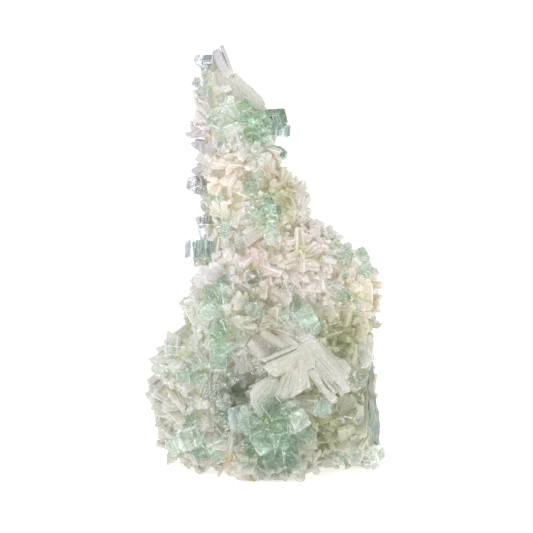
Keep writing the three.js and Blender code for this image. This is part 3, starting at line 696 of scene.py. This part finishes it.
class Pile:
    """Crystals gathered into one mesh. It keeps each one's own coordinates, a tone for its finish,
    which of its faces lie along an edge, and a chance value for each face."""

    def __init__(self):
        self.points, self.faces, self.local, self.tone = [], [], [], []
        self.edge, self.facet, self.chance = [], [], random.Random(5)

    def add(self, shape, place=Matrix(), tone=0.5, shift=Vector(), fineness=1.0):
        points, faces, *edges = shape
        first = len(self.points)
        self.points += [place @ point for point in points]
        self.faces += [tuple(first + index for index in face) for face in faces]
        self.local += [point * fineness + shift for point in points]
        self.tone += [tone] * len(points)
        self.edge += edges[0] if edges else [0.0] * len(faces)
        self.facet += [self.chance.random() for _ in faces]

    def mesh(self, name, smooth_under=0.0):
        mesh = bpy.data.meshes.new(name)
        mesh.from_pydata(self.points, [], self.faces)
        local = mesh.attributes.new("local", "FLOAT_VECTOR", "POINT")
        local.data.foreach_set("vector", [value for point in self.local for value in point])
        for kind, domain in (("tone", "POINT"), ("edge", "FACE"), ("facet", "FACE")):
            carried = mesh.attributes.new(kind, "FLOAT", domain)
            carried.data.foreach_set("value", getattr(self, kind))
        mesh.shade_smooth()
        mesh.set_sharp_from_angle(angle=math.radians(smooth_under))
        return mesh


def in_scene(name, data):
    thing = bpy.data.objects.new(name, data)
    bpy.context.scene.collection.objects.link(thing)
    return thing


def as_piece(mesh, name, material):
    """A mesh in millimetres made one piece of the cluster, in metres, flat where it rests."""
    for vertex in mesh.vertices:
        vertex.co.z = max(vertex.co.z, 0)
    mesh.transform(Matrix.Scale(MM, 4))
    mesh.materials.clear()
    mesh.materials.append(material)
    piece = in_scene(name.replace(" ", "_"), mesh)
    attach(piece, "root")
    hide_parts(NODE)


# ---------- the body under the crystals
def as_mesh(bm, name):
    mesh = bpy.data.meshes.new(name)
    bm.to_mesh(mesh)
    bm.free()
    return mesh


def evaluated(thing):
    """A plain mesh of an object with its modifiers run. The object itself is taken away."""
    graph = bpy.context.evaluated_depsgraph_get()
    mesh = bpy.data.meshes.new_from_object(thing.evaluated_get(graph), depsgraph=graph)
    bpy.data.objects.remove(thing)
    return mesh


def knobbly(point):
    """A body point moved by broad and fine lumps."""
    moved = point
    for closeness, height in (BROAD_KNOBS, FINE_KNOBS):
        moved = moved + noise.noise_vector(point * closeness) * height
    return moved


def cut_flat(point):
    """A body point brought back to the break and to the foot."""
    beyond = point.dot(BREAK_NORMAL) - BREAK_DISTANCE
    if beyond > 0 and point.z < BREAK_TOP:
        point = point - BREAK_NORMAL * beyond
    return Vector((point.x, point.y, max(point.z, 0)))


def body_mesh():
    bm = bmesh.new()
    for x, y, z, *radii in LUMPS:
        drawn_in = [radius - min(CRYSTAL_COAT, THINNEST_COAT * min(radii)) for radius in radii]
        place = Matrix.Translation((x, y, z)) @ Matrix.Diagonal((*drawn_in, 1))
        bmesh.ops.create_icosphere(bm, subdivisions=4, radius=1, matrix=place)
    lumps = in_scene("lumps", as_mesh(bm, "lumps"))
    remesh = lumps.modifiers.new("skin", "REMESH")
    remesh.mode, remesh.voxel_size, remesh.use_smooth_shade = "VOXEL", BODY_GRAIN, True
    body = evaluated(lumps)
    for vertex in body.vertices:
        vertex.co = cut_flat(knobbly(vertex.co))
    return body


BODY = body_mesh()


def behind_board(start):
    """How far ahead of a place on the board the lumps are first met, or None."""
    met = []
    for x, y, z, *radii in LUMPS:
        offset = Vector([(a - b) / r for a, b, r in zip(start, (x, y, z), radii)])
        step = Vector([a / r for a, r in zip(AHEAD, radii)])
        square, half, rest = step.dot(step), offset.dot(step), offset.dot(offset) - 1
        inside = half * half - square * rest
        if inside > 0:
            met.append((-half - math.sqrt(inside)) / square)
    return min(met, default=None)


def display_spot(across, up):
    """The place on the lumps behind the board. Past their edge it keeps the edge's depth."""
    middle = AXIS_OVERHANG * (up / CLUSTER_HEIGHT) ** 2
    foot = Vector((0, BOARD_FRONT, 0)) + BOARD_UP * up
    for share in range(50, 0, -1):
        depth = behind_board(foot + Vector((middle + (across - middle) * share / 50, 0, 0)))
        if depth is not None:
            return foot + Vector((across, 0, 0)) + AHEAD * depth
    raise ValueError(f"nothing lies behind the board at {across}, {up}")


# ---------- crystals set one by one
def own_finish(chance):
    """A shift that gives a crystal its own part of a finish."""
    return Vector((chance.uniform(0, FINISH_SPREAD), 0, 0))


def apophyllite_pile(rows, chance):
    """The apophyllites of some rows, each with its head just in front of the lumps."""
    pile = Pile()
    for across, up, width, length, swing, lift, spin, corner_cut in rows:
        turn, raised = math.radians(swing), math.radians(lift)
        level = math.cos(raised)
        axis = Vector((math.sin(turn) * level, -math.cos(turn) * level, math.sin(raised)))
        side = Matrix.Rotation(math.radians(spin), 3, axis) @ perpendicular(axis)
        head = display_spot(across, up) - AHEAD * length * HEAD_STAND
        place = Matrix.Translation(head - axis * length * HEAD_SHARE) @ turned(axis, side).to_4x4()
        shape = apophyllite_shape(width, length, corner_cut)
        pile.add(shape, place, chance.random(), own_finish(chance))
    return pile


def add_layered_lath(pile, root, tip, width, chance):
    """A lath of narrower ones grown side by side, so that its face is ribbed and its end ragged."""
    thickness = width * LATH_FLATNESS
    root = root - (tip - root).normalized() * LATH_TAIL
    run = tip - root
    place = Matrix.Translation(root) @ turned(run.normalized(), -AHEAD).to_4x4()
    ribs = max(2, round(width / RIB_WIDTH))
    rib = width / (ribs * RIB_STEP + 1 - RIB_STEP)
    for number in range(ribs):
        share = (number + 0.5) / ribs - 0.5
        spread = share * (width - rib) * ribs / max(ribs - 1, 1)
        lift = chance.uniform(-RIB_LIFT, RIB_LIFT) * thickness
        shift = Matrix.Translation((spread * (1 - RIB_SPLAY), lift, 0))
        splay = Matrix.Rotation(math.atan2(spread * RIB_SPLAY, run.length), 4, "Y")
        length = run.length * (1 - abs(share) * RIB_SHORTENING)
        shape = uneven_lath(rib, thickness, length, RIB_SPANS, chance)
        grown = own_finish(chance)
        pile.add(shape, place @ shift @ splay, chance.uniform(*RIB_TONES), grown)


def display_laths():
    pile, chance = Pile(), random.Random(4)
    for root_across, root_up, tip_across, tip_up, width, forward in LATHS:
        root = display_spot(root_across, root_up) + AHEAD * LATH_ROOT
        tip = display_spot(tip_across, tip_up) - AHEAD * forward
        add_layered_lath(pile, root, tip, width, chance)
    return pile


def blade_outline(root, tip, width, chance):
    """The outline of a narrow blade, drawn clockwise from its root. Its end is cut at a slant."""
    along = (tip - root).normalized()
    left = Vector((-along.y, along.x)) * width / 2
    middle, slant = root.lerp(tip, 0.5), width * chance.uniform(*TIP_SLANT)
    first, second = tip - along * slant, tip - along * (width - slant) * 0.5
    if chance.random() < 0.5:
        first, second = second, first
    near, far = left * 0.8, left
    return [root, root + near, middle + far, first + near, second - near, middle - far, root - near]


def spray_plates(forward, rise_right, rise_up, count, width, *ends, chance):
    """The narrow blades of a spray, as plates."""
    first_root, last_root, first_tip, last_tip = (Vector(end) for end in ends)
    for number in range(count):
        share = number / (count - 1)
        root, tip = first_root.lerp(last_root, share), first_tip.lerp(last_tip, share)
        tip = root.lerp(tip, chance.uniform(*SPRAY_REACH))
        outline = blade_outline(root, tip, width * chance.uniform(*SPRAY_WIDTHS), chance)
        stands = forward + chance.uniform(*SPRAY_STAND)
        yield stands, rise_right, rise_up, SPRAY_THICKNESS, outline


def clockwise(outline):
    """An outline of places in the clockwise order, from the same first place."""
    turns = sum(a.x * b.y - b.x * a.y for a, b in zip(outline, outline[1:] + outline[:1]))
    return outline if turns < 0 else outline[:1] + outline[:0:-1]


def broad_plates(group, chance):
    """The plates of a group, each built up of layers that step inwards."""
    root, plates, sprays = PLATES[group]
    base = display_spot(*root)
    pile = Pile()
    narrow = [plate for spray in sprays for plate in spray_plates(*spray, chance=chance)]
    for forward, rise_right, rise_up, thickness, outline in plates + narrow:
        outline = clockwise([Vector(corner) for corner in outline])
        flat = [
            Vector((across - root[0], 0, 0)) + BOARD_UP * (up - root[1]) for across, up in outline
        ]
        tip = max(flat, key=lambda corner: (corner - flat[0]).length)
        turn = turned((tip - flat[0]).normalized(), -AHEAD)
        across, _, along = turn.transposed()
        corners = [Vector((corner.dot(across), corner.dot(along))) for corner in flat]
        middle = sum(corners, Vector((0, 0))) / len(corners)
        level = forward
        for inset, share in PLATE_LAYERS:
            layer = []
            for corner in corners:
                inward = middle - corner
                step = inset * chance.uniform(*LAYER_STEP) / inward.length
                layer.append(corner + inward * min(step, FARTHEST_STEP))

            def front(x, z):
                place = across * x + along * z
                return level + place.x * rise_right + place.dot(BOARD_UP) * rise_up

            depth = thickness if inset == 0 else thickness * share + LAYER_OVERLAP
            shape = plate_shape(layer, front, depth)
            place = Matrix.Translation(base) @ turn.to_4x4()
            pile.add(shape, place, chance.uniform(*PLATE_TONES), PAST_ROOTS, PLATE_FINENESS)
            level += thickness * share * LAYER_RISE
    return pile


# ---------- crystals that cover the rest
DENSEST = 4.0  # places to try for each square millimetre
DRIFT_TURN = 30.0  # how far round the lean of the crystals drifts, in radians
LEAN_SPREAD, TWIST_SPREAD = 0.6, 0.9  # chance turns either way, the same for all of a fan
TILT_SPREAD, SPIN_SPREAD = 0.15, 0.35  # chance turns either way, for each of them
FAN_SPREAD, WIDTH_SPREAD, DEPTH_SPREAD = (0.7, 1.2), (0.8, 1.2), (0.8, 1.3)
COVER_INPUTS = {  # by kind of socket
    "Geometry": ["Body"],
    "Collection": ["Kit"],
    "Object": ["Keep clear of"],
    "Material": ["Finish"],
    "Int": ["Fewest", "Most", "Seed"],
    "Float": [
        "Clearance", "Spacing", "Lowest", "Highest", "Frontmost", "Drift", "Least lean", "Most lean",
        "Fan", "Smallest", "Largest", "Root", "Reach",
    ],
}


def cover_tree():
    """Crystals of a kit, scattered over a body. They lean out of it singly or in small fans."""
    tree = bpy.data.node_groups.new("crystal cover", "GeometryNodeTree")
    graph = Graph(tree)
    for kind, names in COVER_INPUTS.items():
        for name in names:
            tree.interface.new_socket(name, in_out="INPUT", socket_type=f"NodeSocket{kind}")
    tree.interface.new_socket("Crystals", in_out="OUTPUT", socket_type="NodeSocketGeometry")
    given = graph.node("NodeGroupInput")
    draws = iter(range(1, 99))

    def chance(low, high, kind="FLOAT"):
        """A draw for each crystal. Every call has a seed of its own."""
        lowest, highest, result = {"FLOAT": (2, 3, 1), "INT": (4, 5, 2)}[kind]
        sockets = {lowest: low, highest: high, "Seed": given["Seed"] * 100 + next(draws)}
        return graph.node("FunctionNodeRandomValue", sockets, data_type=kind)[result]

    def either_way(spread):
        return chance(-spread, spread)

    def turn(x=0.0, y=0.0, z=0.0):
        return graph.node("FunctionNodeEulerToRotation", {"Euler": graph.join(x, y, z)})["Rotation"]

    def then(rotation, by):
        sockets = {"Rotation": rotation, "Rotate By": by}
        return graph.node("FunctionNodeRotateRotation", sockets, rotation_space="LOCAL")["Rotation"]

    def carrying(geometry, name, value, kind, domain):
        """Geometry that carries a value under a name."""
        sockets = {"Geometry": geometry, "Name": name, "Value": value}
        settings = {"data_type": kind, "domain": domain}
        return graph.node("GeometryNodeStoreNamedAttribute", sockets, **settings)["Geometry"]

    def without(points, unwanted):
        sockets = {"Geometry": points, "Selection": unwanted}
        return graph.node("GeometryNodeDeleteGeometry", sockets, domain="POINT")["Geometry"]

    def past_break(spot, distance):
        ahead = graph.vectors("DOT_PRODUCT", spot, BREAK_NORMAL, "Value")
        return (ahead > distance) * (axes["Z"] < BREAK_TOP)

    sockets = {"Mesh": given["Body"], "Distance Min": given["Spacing"], "Seed": given["Seed"]}
    sockets["Density Max"] = DENSEST
    settings = {"distribute_method": "POISSON"}
    scattered = graph.node("GeometryNodeDistributePointsOnFaces", sockets, **settings)
    place = graph.node("GeometryNodeInputPosition")["Position"]
    axes = graph.split(place)
    sockets = {"Object": given["Keep clear of"]}
    guard = graph.node("GeometryNodeObjectInfo", sockets, transform_space="ORIGINAL")
    sockets = {"Geometry": guard["Geometry"]}
    away = graph.node("GeometryNodeProximity", sockets, target_element="FACES")["Distance"]
    unwanted = (
        (axes["Z"] < given["Lowest"])
        + (axes["Z"] > given["Highest"])
        + (axes["Y"] < given["Frontmost"])
        + (away < given["Clearance"])
        + past_break(place, BREAK_DISTANCE - BREAK_MARGIN)
    )
    kept = without(scattered["Points"], unwanted)

    drift = graph.noise(place, given["Drift"], 1.0) * DRIFT_TURN + either_way(LEAN_SPREAD)
    lean = turn(x=chance(given["Least lean"], given["Most lean"]), z=drift)
    leaning = then(scattered["Rotation"], lean)
    twisted = then(leaning, turn(z=either_way(TWIST_SPREAD)))
    remembered = carrying(kept, "leaning", twisted, "QUATERNION", "POINT")
    sockets = {"Geometry": remembered, "Amount": chance(given["Fewest"], given["Most"], "INT")}
    fanned = graph.node("GeometryNodeDuplicateElements", sockets, domain="POINT")
    settings = {"data_type": "QUATERNION"}
    leaned = graph.node("GeometryNodeInputNamedAttribute", {"Name": "leaning"}, **settings)
    swing = (fanned["Duplicate Index"] - 1.0) * given["Fan"] * chance(*FAN_SPREAD)
    fanning = turn(either_way(TILT_SPREAD), swing, either_way(SPIN_SPREAD))
    rotation = then(leaned["Attribute"], fanning)
    size = chance(given["Smallest"], given["Largest"])
    scale = graph.join(size * chance(*WIDTH_SPREAD), size * chance(*DEPTH_SPREAD), size)

    sockets = {"Vector": (0.0, 0.0, 1.0), "Rotation": rotation}
    ahead = graph.node("FunctionNodeRotateVector", sockets)["Vector"]
    reach = graph.vectors("MULTIPLY", ahead, size * given["Reach"])
    tip = graph.vectors("ADD", place, reach)
    outside = (graph.split(tip)["Z"] < LEAST_TIP) + past_break(tip, BREAK_DISTANCE)
    sockets = {"Collection": given["Kit"], "Separate Children": True, "Reset Children": True}
    kit = graph.node("GeometryNodeCollectionInfo", sockets, transform_space="ORIGINAL")
    sockets = {"Points": without(fanned["Geometry"], outside), "Instance": kit["Instances"]}
    sockets |= {"Pick Instance": True, "Instance Index": chance(0, 99, "INT")}
    sockets |= {"Rotation": rotation, "Scale": scale}
    placed = graph.node("GeometryNodeInstanceOnPoints", sockets)["Instances"]
    down = graph.join(z=given["Root"] * -1.0)
    sockets = {"Instances": placed, "Translation": down, "Local Space": True}
    rooted = graph.node("GeometryNodeTranslateInstances", sockets)["Instances"]
    toned = carrying(rooted, "tone", chance(0.0, 1.0), "FLOAT", "INSTANCE")
    real = graph.node("GeometryNodeRealizeInstances", {"Geometry": toned})["Geometry"]
    sockets = {"Geometry": real, "Material": given["Finish"]}
    finished = graph.node("GeometryNodeSetMaterial", sockets)["Geometry"]
    graph.node("NodeGroupOutput", {"Crystals": finished})
    return tree


KIT_STEP = 7.0


def kit_of(name, shapes, smooth_under):
    """A collection of loose crystals for a cover to pick from."""
    kit = bpy.data.collections.new(name)
    for number, shape in enumerate(shapes):
        pile = Pile()
        pile.add(shape, shift=Vector((number * KIT_STEP, 0, 0)))
        mesh = pile.mesh(name, smooth_under)
        mesh.attributes.remove(mesh.attributes["tone"])  # a cover gives each crystal its own
        kit.objects.link(bpy.data.objects.new(f"{name} {number}", mesh))
    return kit


def display_patches(places):
    """The parts of the body, on the display side, that small apophyllites crowd."""
    spots = [(display_spot(across, up), radius) for across, up, radius in places]
    bm = bmesh.new()
    bm.from_mesh(BODY)
    bare = [
        face
        for face in bm.faces
        if all((face.calc_center_median() - spot).length > radius for spot, radius in spots)
    ]
    bmesh.ops.delete(bm, geom=bare, context="FACES")
    return as_mesh(bm, "patches")


# The crystals that a cover picks from.
BLADE_SIZES = [  # width, thickness, length, bend, skew, bluntness
    (3.0, 1.9, 11.0, 0.02, 0.2, 0.75), (2.6, 1.8, 10.5, -0.02, -0.25, 0.8),
    (3.5, 1.8, 10.0, 0.02, 0.3, 0.7), (2.9, 2.0, 9.5, -0.02, 0.15, 0.75),
    (2.4, 1.8, 11.0, 0.03, -0.1, 0.7), (3.2, 2.1, 10.5, 0.0, -0.2, 0.75),
]
BUNDLE_SIZES = [(2, 4.0, 1.9, 11.0), (3, 5.2, 1.8, 10.5)]  # count, width, thickness, length
BLOCK_SIZES = [(4.4, 8.5, 0.2), (3.6, 8.0, 0.35), (3.2, 7.0, 0.6), (5.0, 9.0, 0.15)]

# How crystals cover a ground, under the names of the cover tree's inputs.
HABIT_INPUTS = (
    "Clearance", "Spacing", "Frontmost", "Drift", "Least lean", "Most lean", "Fan", "Fewest", "Most",
    "Root", "Reach",
)
HABITS = {
    "lying": (0.5, 2.7, -99.0, 0.06, 0.95, 1.42, 0.25, 1, 3, 3.0, 8.0),
    "standing": (0.8, 5.5, -99.0, 0.1, 0.4, 1.2, 0.25, 2, 4, 4.4, 8.0),
    "back": (3.0, 8.0, 5.0, 0.4, 0.0, 0.7, 0.8, 1, 2, 5.0, 4.0),
    "druse": (0.3, 2.8, -99.0, 0.4, 0.0, 0.8, 0.8, 1, 1, 6.0, 4.0),
    "sprinkle": (0.3, 4.6, -99.0, 0.4, 0.0, 0.9, 0.8, 1, 1, 4.5, 4.0),
}
FIRST_SEEDS, BLOCK_SEED = {"lying": 0, "standing": 10}, 7
SIZE_INPUTS = ("Lowest", "Highest", "Smallest", "Largest")
BANDS = {
    "foot": (0.5, 26, 0.55, 1.05),
    "lobes": (26, 50, 0.55, 1.05),
    "middle": (50, 80, 0.55, 1.0),
    "waist": (80, 112, 0.5, 0.9),
    "neck": (112, 127, 0.45, 0.78),
    "crest": (127, 139, 0.3, 0.52),
    "tip": (139, 150, 0.3, 0.45),
}


def add_cover(name, ground, kit, finish, habit, sizes, seed):
    """One piece made by a run of the cover tree over a ground."""
    values = {
        "Kit": kit,
        "Finish": finish,
        "Keep clear of": GUARD,
        "Seed": seed,
        **dict(zip(HABIT_INPUTS, HABITS[habit])),
        **dict(zip(SIZE_INPUTS, sizes)),
    }
    body = in_scene("body", ground)
    modifier = body.modifiers.new("cover", "NODES")
    modifier.node_group = COVER
    for item in COVER.interface.items_tree:
        if item.item_type == "SOCKET" and item.in_out == "INPUT" and item.name in values:
            modifier[item.identifier] = values[item.name]
    as_piece(evaluated(body), name, finish)


# ---------- the cluster
chance = random.Random(1)
apophyllites = {name: apophyllite_pile(rows, chance) for name, rows in APOPHYLLITE.items()}
laths = display_laths()
chance = random.Random(9)
plates = {group: broad_plates(group, chance) for group in PLATES}
set_apart = Pile()
for pile in (laths, *plates.values(), *apophyllites.values()):
    set_apart.add((pile.points, pile.faces))
GUARD = in_scene("guard", set_apart.mesh("guard"))

shaping = random.Random(12)
blades = [lath_shape(*sizes) for sizes in BLADE_SIZES]
bundles = [bundle_shape(*sizes, shaping) for sizes in BUNDLE_SIZES]
BLADE_KIT = kit_of("blades", [*blades[:5], *bundles, *blades[5:]], smooth_under=40)
BLOCK_KIT = kit_of("blocks", [apophyllite_shape(*size) for size in BLOCK_SIZES], smooth_under=0)
COVER = cover_tree()

for number, (band, sizes) in enumerate(BANDS.items()):
    for habit, first_seed in FIRST_SEEDS.items():
        name, seed = f"stilbite_{habit}_{band}", first_seed + number
        add_cover(name, BODY, BLADE_KIT, STILBITE, habit, sizes, seed)
SMALL_APOPHYLLITES = {  # ground, glass, sizes
    "back": (BODY, "green", (2.0, 150.0, 0.6, 1.25)),
    "druse": (display_patches(GREEN_PATCHES), "green", (2.0, 150.0, 0.35, 0.95)),
    "sprinkle": (display_patches(CLEAR_PATCHES), "clear", (2.0, 150.0, 0.4, 0.8)),
}
for seed, (habit, (ground, kind, sizes)) in enumerate(SMALL_APOPHYLLITES.items(), BLOCK_SEED):
    name = f"apophyllite_{habit}"
    add_cover(name, ground, BLOCK_KIT, GLASS[kind], habit, sizes, seed)
bpy.data.objects.remove(GUARD)

as_piece(laths.mesh("laths", smooth_under=30), "stilbite_laths", STILBITE)
for group, pile in plates.items():
    mesh = pile.mesh(group, smooth_under=20)
    as_piece(mesh, f"stilbite_{group}", BROAD_STILBITE)
for name, pile in apophyllites.items():
    as_piece(pile.mesh(name), f"apophyllite_{name}", GLASS[name])
as_piece(BODY, "ground", MATRIX)


# ---------- floor, light and camera
LAMPS = {  # place in metres, size, watts
    "key": ((-0.45, -0.6, 0.6), 0.3, 2.0),
    "fill": ((0.6, -0.5, 0.3), 0.25, 0.8),
    "top": ((0.1, -0.1, 0.8), 0.3, 1.2),
    "back": ((0.1, 0.6, 0.5), 0.15, 0.6),
    "glint left": ((-0.5, -0.5, 0.1), 0.05, 0.12),
    "glint right": ((0.3, -0.7, 0.5), 0.05, 0.15),
    "glint low": ((0.1, -0.8, 0.05), 0.05, 0.1),
}
LAMP_COLORS = {"key": (0.88, 0.94, 1.0)}  # the others are white
LIT_FROM = Vector((0, 0, 0.07))  # where the lamps point, in metres
SKY_STRENGTH = 0.78
SEEN_SKY = (1.3, 1.3, 1.3)  # what the camera sees of it
VIEW_WIDTH = 182.3 * MM  # what the frame spans at the board
FOCAL, SENSOR = 200.0, 36.0
VIEW_CENTRE = Vector((-0.5, BOARD_FRONT, 0)) + BOARD_UP * 74.7


def studio_floor():
    pale = Finish(
        "pale floor",
        Base_Color=(0.96, 0.96, 0.96, 1.0),
        Emission_Color=(*WHITE, 1.0),
        Emission_Strength=0.46,
        Roughness=0.8,
    )
    bm = bmesh.new()
    bmesh.ops.create_grid(bm, x_segments=1, y_segments=1, size=3.0)
    mesh = as_mesh(bm, "floor")
    mesh.materials.append(pale.material)
    floor = in_scene("floor", mesh)


def studio_light():
    """A bright sky that is darker behind the camera, and soft square lamps."""
    world = bpy.data.worlds.new("studio")
    bpy.context.scene.world = world
    world.use_nodes = True
    graph, background = Graph(world.node_tree), world.node_tree.nodes["Background"]
    ahead = graph.split(graph.node("ShaderNodeTexCoord")["Generated"])["Y"]
    seen = graph.node("ShaderNodeLightPath")["Is Camera Ray"]
    sky = graph.mix(ahead.ramp(-0.95, -0.35), (0.3, 0.3, 0.3), (0.92, 0.92, 0.92))
    sky = graph.mix(seen, sky, SEEN_SKY)
    world.node_tree.links.new(sky.socket, background.inputs["Color"])
    background.inputs["Strength"].default_value = SKY_STRENGTH
    for name, (place, size, watts) in LAMPS.items():
        light = bpy.data.lights.new(name, "AREA")
        light.size, light.energy, light.color = size, watts, LAMP_COLORS.get(name, WHITE)
        lamp = in_scene(name, light)
        lamp.location = place
        lamp.rotation_euler = (LIT_FROM - Vector(place)).to_track_quat("-Z", "Y").to_euler()


def studio_camera():
    data = bpy.data.cameras.new("camera")
    data.lens, data.sensor_width = FOCAL, SENSOR
    camera = in_scene("camera", data)
    camera.location = VIEW_CENTRE * MM - AHEAD * (FOCAL * VIEW_WIDTH / SENSOR)
    camera.rotation_euler = AHEAD.to_track_quat("-Z", "Y").to_euler()
    bpy.context.scene.camera = camera


studio_floor()
studio_light()
studio_camera()
bpy.context.scene.view_settings.view_transform = "Standard"
